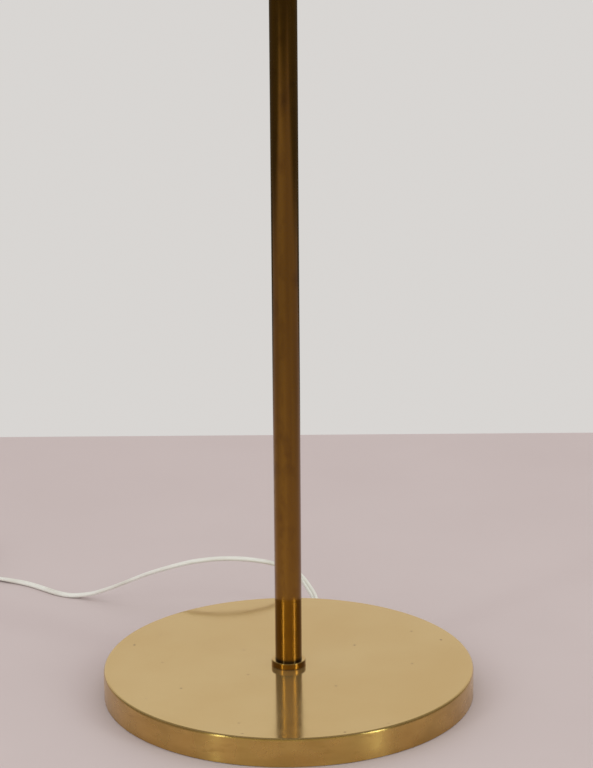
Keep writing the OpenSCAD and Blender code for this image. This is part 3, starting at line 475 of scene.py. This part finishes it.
coil_rings = int(COIL_TURNS * RINGS_PER_TURN) + 1
coil_route = np.array([coil_point(i / RINGS_PER_TURN) for i in range(coil_rings)])
tail = coil_route[-1] + np.outer(np.linspace(1.0 / TAIL_STEPS, 1.0, TAIL_STEPS), (0.0, COIL_TAIL, 0.0))
print("turns:", COIL_TURNS, "plug end at:", tail[-1].round(1))

# %% [markdown]
# ## Swept pieces
# The cord and its strap have the same section from end to end, so both are swept: the section is
# copied to every point of a route, and neighbouring copies are joined by faces. A new piece also has
# to say on which body it rides and which solids it stands for.

# %% Helpers for swept pieces
SHARP_DEG = 40.0


def heading(route):
    """The direction of a route at each point, one unit long."""
    ahead = np.gradient(route, axis=0)
    return ahead / np.linalg.norm(ahead, axis=1)[:, None]


def mesh_piece(name, points, faces, finish, body, stands_for, slot, sharp_deg=SHARP_DEG):
    """Makes a smooth-shaded piece from points in millimetres and lets it ride on a body."""
    mesh = bpy.data.meshes.new(name)
    mesh.from_pydata([tuple(p) for p in np.asarray(points) * MM], [], faces)
    mesh.materials.append(finish)
    mesh.shade_smooth()
    mesh.set_sharp_from_angle(angle=math.radians(sharp_deg))
    piece = bpy.data.objects.new(name, mesh)
    scene.collection.objects.link(piece)
    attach(piece, body)
    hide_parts(*stands_for)
    return piece


def swept(route, across, section):
    """Points and faces of a tube whose section is placed square to the route at each point."""
    route, across = np.asarray(route), np.asarray(across)
    out = np.cross(across, heading(route))
    sides = len(section)
    rings = [p + s[0] * a + s[1] * n for p, a, n in zip(route, across, out) for s in section]
    faces = []
    for i in range(len(route) - 1):
        for k in range(sides):
            a, b = i * sides + k, i * sides + (k + 1) % sides
            faces.append((a, b, b + sides, a + sides))
    last = (len(route) - 1) * sides
    faces.append(tuple(range(sides - 1, -1, -1)))
    faces.append(tuple(range(last, last + sides)))
    return rings, faces


print("helpers:", heading.__name__, mesh_piece.__name__, swept.__name__)

# %% [markdown]
# ## The cord's skin
# Twin flex is two round cores side by side with a groove between them, which shows as a fine line
# along the cord. An oval would be simpler, but it would lose that line, so the section is two arcs
# that meet at the groove. The flex lies flat on the floor, but it is turned up by a third of a right
# angle or so where it rises behind the base, and it rolls onto its edge before the coil.

# %% Cord
UP = np.array((0.0, 0.0, 1.0))
CORE_R = 1.32
CORE_OFFSET = 0.5 * CORD_WIDTH - CORE_R
ARC_POINTS = 15
CLOSEST = 0.2
TURNED_UP = math.radians(33.0)
UPTURN_START, UPTURN_RISE, UPTURN_END, UPTURN_FALL = 0.02, 0.1, 0.25, 0.08
ROLL_START, ROLL_END = 0.80, 0.97
CORD_SHARP_DEG = 60.0

groove = math.acos(-CORE_OFFSET / CORE_R)
arc = np.linspace(-groove, groove, ARC_POINTS)
core = np.stack((CORE_OFFSET + CORE_R * np.cos(arc), CORE_R * np.sin(arc)), axis=1)
twin_section = np.concatenate((core[:-1], -core[:-1]))

route = np.concatenate((free_route, coil_route, tail))
route = route[np.append(True, gaps(route) > CLOSEST)]
across = []
for i, way in enumerate(heading(route)):
    flat = np.cross(way, UP)
    flat /= np.linalg.norm(flat)
    share = i / (len(free_route) - 1)
    rising = ease((share - UPTURN_START) / UPTURN_RISE)
    falling = ease((UPTURN_END - share) / UPTURN_FALL)
    roll = 0.5 * math.pi * ease((share - ROLL_START) / (ROLL_END - ROLL_START))
    roll -= TURNED_UP * rising * falling
    across.append(flat * math.cos(roll) + np.cross(way, flat) * math.sin(roll))
cord = mesh_piece("cord", *swept(route, across, twin_section), white_pvc, "stand",
                  ("supply_cord", "cord_coil"), "white_pvc", CORD_SHARP_DEG)

# %% [markdown]
# ## The strap round the coil
# A thin strap holds the turns together. It starts on top of them, goes once round the bundle, and
# its end laps over its start. A closed band could stand for it, but the lap shows how it is fastened.
# The route is a rounded rectangle in a plane that cuts the coil.

# %% Strap route
STRAP_ANGLE = math.radians(50.0)
STRAP_WIDTH, STRAP_THICK = 10.0, 0.5
STRAP_BEND, STRAP_LAP = 1.0, 13.0
LAP_BEFORE, LAP_AFTER = 2.0, 1.0
CORD_THICK, LOOSE, SNUG = 2.6, 0.3, 0.1
BEND_STEPS = 6

half_width, half_thick = 0.5 * STRAP_WIDTH, 0.5 * STRAP_THICK
inset = STRAP_BEND + half_thick
bundle_in = coil_inner - 0.5 * (TURN_STEP + CORD_THICK)
inner_side = math.sqrt(bundle_in**2 - half_width**2) - 2.0 * LOOSE - half_thick
outer_side = math.hypot(COIL_R + 0.5 * CORD_THICK, half_width) + LOOSE + half_thick
under_side = COIL_LOW - 0.5 * CORD_WIDTH - SNUG - half_thick
top_side = COIL_LOW + LAYER_STEP + 0.5 * CORD_WIDTH + SNUG + half_thick


def bend(centre_r, centre_z, start_deg):
    """A quarter circle, clockwise from an angle, as the strap goes over an edge of the bundle."""
    turn = np.radians(start_deg - np.linspace(0.0, 90.0, BEND_STEPS))
    return np.stack((centre_r + inset * np.cos(turn), centre_z + inset * np.sin(turn)), axis=1)


near, far = inner_side + inset, outer_side - inset
low_bend, high_bend = under_side + inset, top_side - inset
lap_start, lap_top = far - STRAP_LAP, top_side + STRAP_THICK
strap_flat = np.concatenate((
    [(lap_start, top_side)], bend(far, high_bend, 90.0), bend(far, low_bend, 0.0),
    bend(near, low_bend, -90.0), bend(near, high_bend, 180.0),
    [(lap_start - LAP_BEFORE, top_side), (lap_start + LAP_AFTER, lap_top), (far, lap_top)],
))
strap_out = np.array((math.cos(STRAP_ANGLE), math.sin(STRAP_ANGLE), 0.0))
strap_route = (COIL_X, COIL_Y, 0.0) + strap_flat[:, :1] * strap_out + strap_flat[:, 1:] * UP
print("strap in mm:", round(float(gaps(strap_route).sum())))

# %% [markdown]
# ## The strap's section
# The strap is a flat ribbon. Its section could be four corners, but a cut edge is never quite sharp,
# so the corners are rounded. It is swept along its route with the same function as the cord.

# %% Strap
STRAP_EDGE, CORNER_POINTS = 0.2, 4
strap_across = np.cross(UP, strap_out)
flat_r, flat_t = half_width - STRAP_EDGE, half_thick - STRAP_EDGE
strap_section = []
for corner, (side, face) in enumerate(((1, 1), (-1, 1), (-1, -1), (1, -1))):
    for turn in np.radians(90.0 * corner + np.linspace(0.0, 90.0, CORNER_POINTS)):
        strap_section.append((side * flat_r + STRAP_EDGE * math.cos(turn),
                              face * flat_t + STRAP_EDGE * math.sin(turn)))
strap_skin = swept(strap_route, [strap_across] * len(strap_route), strap_section)
strap = mesh_piece("strap", *strap_skin, fibre, "stand", ("cord_tie",), "fibre")
print("points in the strap's section:", len(strap_section), "rings:", len(strap_route))

# %% [markdown]

# %% [markdown]
# ## The base's cover
# The cover is spun over a former on a lathe. Its solid could be shown as it is, but the triangles of
# its rounded edge are uneven, and polished metal shows that in every glint. So the section is drawn
# again from the solid's sizes and turned round the pole in even steps.

# %% Base cover
COVER_EDGE, COVER_WALL, COVER_LIFT, COVER_FOLD = 2.0, 1.5, 0.5, 0.5
STEM_HOLE_R = 5.25
FLAT_BAND = 0.4
EDGE_STEPS, FOLD_STEPS, COVER_STEPS = 10, 4, 360


def quarter(centre_r, centre_z, radius, start_deg, end_deg, steps):
    """Points of a quarter circle in the section."""
    turn = np.radians(np.linspace(start_deg, end_deg, steps + 1))
    return [(centre_r + radius * math.cos(t), centre_z + radius * math.sin(t)) for t in turn]


def turned(section, steps):
    """Points and faces of a closed section, given as radius and height, turned round the pole."""
    angles = 2.0 * math.pi * np.arange(steps) / steps
    points = [(r * math.cos(a), r * math.sin(a), z) for a in angles for r, z in section]
    count = len(section)
    faces = []
    for i in range(steps):
        here, there = i * count, (i + 1) % steps * count
        for k in range(count):
            after = (k + 1) % count
            faces.append((here + k, here + after, there + after, there + k))
    return points, faces


base_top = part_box("base_cover")[1][2] / MM
deck, wall_in = base_top - COVER_WALL, base_radius - COVER_WALL
edge_r, edge_z = base_radius - COVER_EDGE, base_top - COVER_EDGE
section = [
    (STEM_HOLE_R, base_top), (edge_r - FLAT_BAND, base_top),
    *quarter(edge_r, edge_z, COVER_EDGE, 90.0, 0.0, EDGE_STEPS),
    (base_radius, edge_z - FLAT_BAND), (base_radius, COVER_LIFT), (wall_in, COVER_LIFT),
    *quarter(wall_in - COVER_FOLD, deck - COVER_FOLD, COVER_FOLD, 0.0, 90.0, FOLD_STEPS),
    (STEM_HOLE_R, deck),
]
cover = mesh_piece("cover", *turned(section, COVER_STEPS), brass_side, "stand", ("base_cover",),
                   "polished_brass")
print("cover faces:", len(cover.data.polygons))

# %% [markdown]
# ## The hole for the cord
# The strain relief sits in a hole in the cover's side. Faces could be cut and joined by hand, but a
# boolean drills as a workshop does: a rod of the drill's size is taken away from the cover. After
# that, faces that look up get the buffed finish, and the side keeps the lathe's lines.

# %% Drill and finish the cover
RELIEF_HOLE_R = 4.6
DRILL_SIDES, DRILL_PAST = 48, 2.0
BUFFED_TO = 0.7

drill_turn = np.linspace(0.0, 2.0 * math.pi, DRILL_SIDES, endpoint=False)
drill_section = RELIEF_HOLE_R * np.stack((np.cos(drill_turn), np.sin(drill_turn)), axis=1)
drill_ends = (wall_in - DRILL_PAST, base_radius + DRILL_PAST)
drill_route = [r * exit_way + EXIT_HEIGHT * UP for r in drill_ends]
drill_points, drill_faces = swept(drill_route, [UP, UP], drill_section)
drill_mesh = bpy.data.meshes.new("drill")
drill_mesh.from_pydata([tuple(p) for p in np.array(drill_points) * MM], [], drill_faces)
drill = bpy.data.objects.new("drill", drill_mesh)
scene.collection.objects.link(drill)
hole = cover.modifiers.new("hole", "BOOLEAN")
hole.object = drill
drilled = cover.evaluated_get(bpy.context.evaluated_depsgraph_get())
cover.data = bpy.data.meshes.new_from_object(drilled)
cover.modifiers.clear()
bpy.data.objects.remove(drill)
cover.data.set_sharp_from_angle(angle=math.radians(SHARP_DEG))
finish_faces(cover, brass_side, brass_top, lambda face: face.normal.z > BUFFED_TO)
print("cover faces after drilling:", len(cover.data.polygons))

# %% [markdown]
# ## Floor
# A plain pale floor ends a little behind the lamp. Polished metal needs something dark to show its
# shape, and the pole mirrors the floor far in front of it. So the floor is pale to the eye, but in
# mirror rays it dims away from the lamp, sooner at the sides, and then turns dark.

# %% Floor
FLOOR_X, FLOOR_FRONT, FLOOR_BACK = 2.2, -3.2, 0.59
PALE, PALE_WORN, WORN_WAVES = (0.61, 0.515, 0.512), (0.59, 0.495, 0.492), 6.0
DIM, DIM_FROM, DIM_TO = (0.39, 0.33, 0.33), 0.18, 0.95
DARK, DARK_FROM, DARK_TO = (0.09, 0.08, 0.065), 1.47, 2.02
NARROWED = (1.4, 1.0, 1.0)
corners = [(x, y, 0.0) for x, y in ((-FLOOR_X, FLOOR_FRONT), (FLOOR_X, FLOOR_FRONT),
                                    (FLOOR_X, FLOOR_BACK), (-FLOOR_X, FLOOR_BACK))]
floor_mesh = bpy.data.meshes.new("floor")
floor_mesh.from_pydata(corners, [], [(0, 1, 2, 3)])
floor = bpy.data.objects.new("floor", floor_mesh)
scene.collection.objects.link(floor)
floor_finish, tree, shader = new_finish("floor_matt", roughness=0.9)
pale = tint(tree, spread(tree, noise(tree, WORN_WAVES), 0.0, 1.0), PALE, PALE_WORN)
place = add(tree, "TexCoord").outputs["Object"]
narrowed = add(tree, "Mapping", {"Vector": place, "Scale": NARROWED}).outputs["Vector"]
from_lamp = add(tree, "VectorMath", {0: narrowed}, operation="LENGTH").outputs["Value"]
dimmed = tint(tree, spread(tree, from_lamp, 0.0, 1.0, DIM_FROM, DIM_TO), pale, DIM)
either_way = add(tree, "VectorMath", {0: narrowed}, operation="ABSOLUTE").outputs["Vector"]
reach = add(tree, "SeparateXYZ", {"Vector": either_way}).outputs
farther = add(tree, "Math", {0: reach["X"], 1: reach["Y"]}, operation="MAXIMUM").outputs[0]
darkened = tint(tree, spread(tree, farther, 0.0, 1.0, DARK_FROM, DARK_TO), dimmed, DARK)
in_mirror = add(tree, "LightPath").outputs["Is Glossy Ray"]
tree.links.new(tint(tree, in_mirror, pale, darkened), shader.inputs["Base Color"])
floor_mesh.materials.append(floor_finish)
print("floor in m:", 2.0 * FLOOR_X, "by", round(FLOOR_BACK - FLOOR_FRONT, 2))

# %% [markdown]
# ## Background
# The world could be one pale colour, but metal shows what it mirrors, and it would have nothing to
# show. So the eye sees a plain pale background, and mirrors and glass see a studio: pale in front and
# behind, dim at the sides, dark above and below. All other rays get an even fill light.

# %% World
BACKDROP = (0.69, 0.67, 0.65)
STUDIO_FRONT, STUDIO_SIDE, STUDIO_BELOW = (0.58, 0.60, 0.44), (0.22, 0.21, 0.19), (0.10, 0.09, 0.06)
CEILING = (0.16, 0.14, 0.11)
FRONT_EDGE, BACK_EDGE = (-0.8, -0.4), (0.55, 0.85)
BELOW_EDGE, CEILING_EDGE = (-0.06, -0.01), (0.55, 0.85)
FILL, FILL_COLOUR = 0.88, (1.0, 0.98, 0.96)
world = bpy.data.worlds.new("studio")
scene.world = world
world.use_nodes = True
tree = world.node_tree
tree.nodes.clear()
ray = add(tree, "LightPath").outputs
way = add(tree, "SeparateXYZ", {"Vector": add(tree, "TexCoord").outputs["Generated"]}).outputs
in_front = spread(tree, way["Y"], 1.0, 0.0, *FRONT_EDGE)
behind = spread(tree, way["Y"], 0.0, 1.0, *BACK_EDGE)
below = spread(tree, way["Z"], 1.0, 0.0, *BELOW_EDGE)
above = spread(tree, way["Z"], 0.0, 1.0, *CEILING_EDGE)
walls = tint(tree, behind, tint(tree, in_front, STUDIO_SIDE, STUDIO_FRONT), BACKDROP)
around = tint(tree, above, walls, CEILING)
mirrored = add(tree, "Background", {"Color": tint(tree, below, around, STUDIO_BELOW)})
seen = add(tree, "Background", {"Color": (*BACKDROP, 1.0)})
filling = add(tree, "Background", {"Color": (*FILL_COLOUR, 1.0), "Strength": FILL})
polished = add(tree, "Math", {0: ray["Is Glossy Ray"], 1: ray["Is Transmission Ray"]}, operation="MAXIMUM")
inner = add(tree, "MixShader", {0: polished.outputs[0], 1: filling.outputs[0], 2: mirrored.outputs[0]})
outer = add(tree, "MixShader", {0: ray["Is Camera Ray"], 1: inner.outputs[0], 2: seen.outputs[0]})
add(tree, "OutputWorld", {"Surface": outer.outputs[0]})
scene.view_settings.view_transform = "Standard"
print("nodes in the world:", len(tree.nodes))

# %% [markdown]
# ## Softboxes
# Two tall, narrow lights stand in front, to the left and the right. Lamps without a size would give
# hard shadows and points of light. Polished metal shows the shape of its light, so each of these
# draws a thin bright streak on the pole.

# %% Softboxes
DAYLIGHT = (0.81, 1.0, 0.92)
BOX_HEIGHT = 1.2
AIM = Vector((0.0, 0.0, 0.1))


def softbox(name, at, width, watts):
    """A tall rectangular light at a place, turned towards the lamp's foot."""
    light = bpy.data.lights.new(name, "AREA")
    light.shape = "RECTANGLE"
    light.size, light.size_y, light.energy = width, BOX_HEIGHT, watts
    light.color = DAYLIGHT
    box = bpy.data.objects.new(name, light)
    scene.collection.objects.link(box)
    box.location = at
    box.rotation_euler = (AIM - Vector(at)).to_track_quat("-Z", "Y").to_euler()


softbox("softbox_left", at=(-1.56, -1.62, 1.2), width=0.24, watts=5.8)
softbox("softbox_right", at=(1.84, -1.29, 1.2), width=0.34, watts=9.0)
